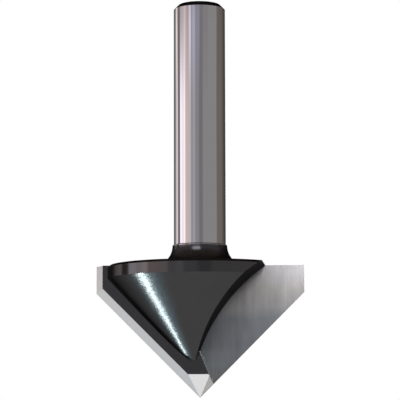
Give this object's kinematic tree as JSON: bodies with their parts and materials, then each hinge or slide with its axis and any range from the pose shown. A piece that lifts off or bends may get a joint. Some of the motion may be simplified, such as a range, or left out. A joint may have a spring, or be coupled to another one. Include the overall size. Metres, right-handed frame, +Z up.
{
  "type": "v groove router bit",
  "caption": "Carbide-tipped V groove router bit with a round shank, a conical head, curved gullets and a sharp point.",
  "frame": {"origin": "the cutting point, on the axis of rotation", "axes": "+Z up the axis to the shank's end; both cutting faces lie in the plane Y = 0, and the tip on the +X side cuts towards -Y"},
  "size_m": [0.0254, 0.0226, 0.0484],
  "materials": {
    "steel": "shank ground bright, neck and head dark satin",
    "carbide": "fine ground cemented carbide"
  },
  "bodies": {
    "root": {"steel_body": "steel", "carbide_tip_left": "carbide", "carbide_tip_right": "carbide"}
  },
  "joints": []
}
